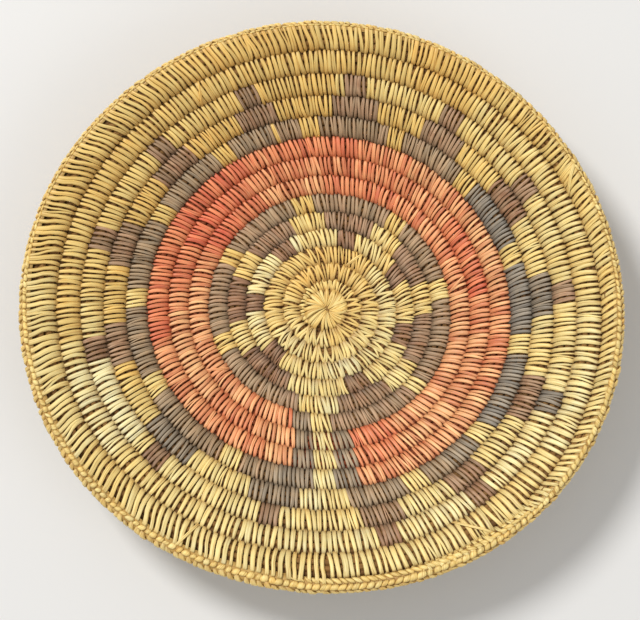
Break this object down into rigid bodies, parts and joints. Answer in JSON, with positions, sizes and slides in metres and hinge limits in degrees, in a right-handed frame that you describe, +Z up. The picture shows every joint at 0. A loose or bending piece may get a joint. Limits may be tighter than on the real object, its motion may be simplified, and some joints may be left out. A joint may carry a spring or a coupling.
{
  "type": "coiled wedding basket",
  "caption": "Shallow coiled bowl basket sewn with dyed splints: brown and natural stepped peaks, a red band, an open path and a herringbone rim.",
  "frame": {"origin": "middle of the flat underside of the start knot, on the surface that the basket stands on", "axes": "+Z up out of the open bowl, -Y from the middle along the open path towards the coil's end, +X to the right with the path at the bottom"},
  "size_m": [0.3579, 0.3384, 0.0616],
  "materials": {
    "natural_splint": "split shoots, smooth, slight sheen",
    "brown_splint": "dyed split shoots, satin",
    "red_splint": "dyed split shoots, satin",
    "rods": "peeled rods, dull",
    "braid_splint": "split shoots, smooth, slight sheen"
  },
  "bodies": {
    "root": {"foundation_rods": "rods", "rim_braid": "braid_splint", "round_01_natural_splints_1": "natural_splint", "round_01_natural_splints_2": "natural_splint", "round_01_natural_splints_3": "natural_splint", "round_01_natural_splints_4": "natural_splint", "round_01_natural_splints_5": "natural_splint", "round_01_natural_splints_6": "natural_splint", "round_02_natural_splints_1": "natural_splint", "round_02_natural_splints_2": "natural_splint", "round_02_natural_splints_3": "natural_splint", "round_02_natural_splints_4": "natural_splint", "round_02_natural_splints_5": "natural_splint", "round_02_natural_splints_6": "natural_splint", "round_03_brown_splints": "brown_splint", "round_03_natural_splints": "natural_splint", "round_04_brown_splints": "brown_splint", "round_04_natural_splints": "natural_splint", "round_05_brown_splints": "brown_splint", "round_05_natural_splints": "natural_splint", "round_06_brown_splints": "brown_splint", "round_06_natural_splints": "natural_splint", "round_06_red_splints_1": "red_splint", "round_06_red_splints_2": "red_splint", "round_06_red_splints_3": "red_splint", "round_06_red_splints_4": "red_splint", "round_06_red_splints_5": "red_splint", "round_07_brown_splints": "brown_splint", "round_07_natural_splints": "natural_splint", "round_07_red_splints_1": "red_splint", "round_07_red_splints_2": "red_splint", "round_07_red_splints_3": "red_splint", "round_07_red_splints_4": "red_splint", "round_07_red_splints_5": "red_splint", "round_08_red_splints_1": "red_splint", "round_08_red_splints_2": "red_splint", "round_08_red_splints_3": "red_splint", "round_08_red_splints_4": "red_splint", "round_08_red_splints_5": "red_splint", "round_09_brown_splints": "brown_splint", "round_09_natural_splints": "natural_splint", "round_10_brown_splints": "brown_splint", "round_10_natural_splints": "natural_splint", "round_11_brown_splints": "brown_splint", "round_11_natural_splints": "natural_splint", "round_12_natural_splints_1": "natural_splint", "round_12_natural_splints_2": "natural_splint", "round_12_natural_splints_3": "natural_splint", "round_13_natural_splints_1": "natural_splint", "round_13_natural_splints_2": "natural_splint", "start_knot": "natural_splint"}
  },
  "joints": []
}
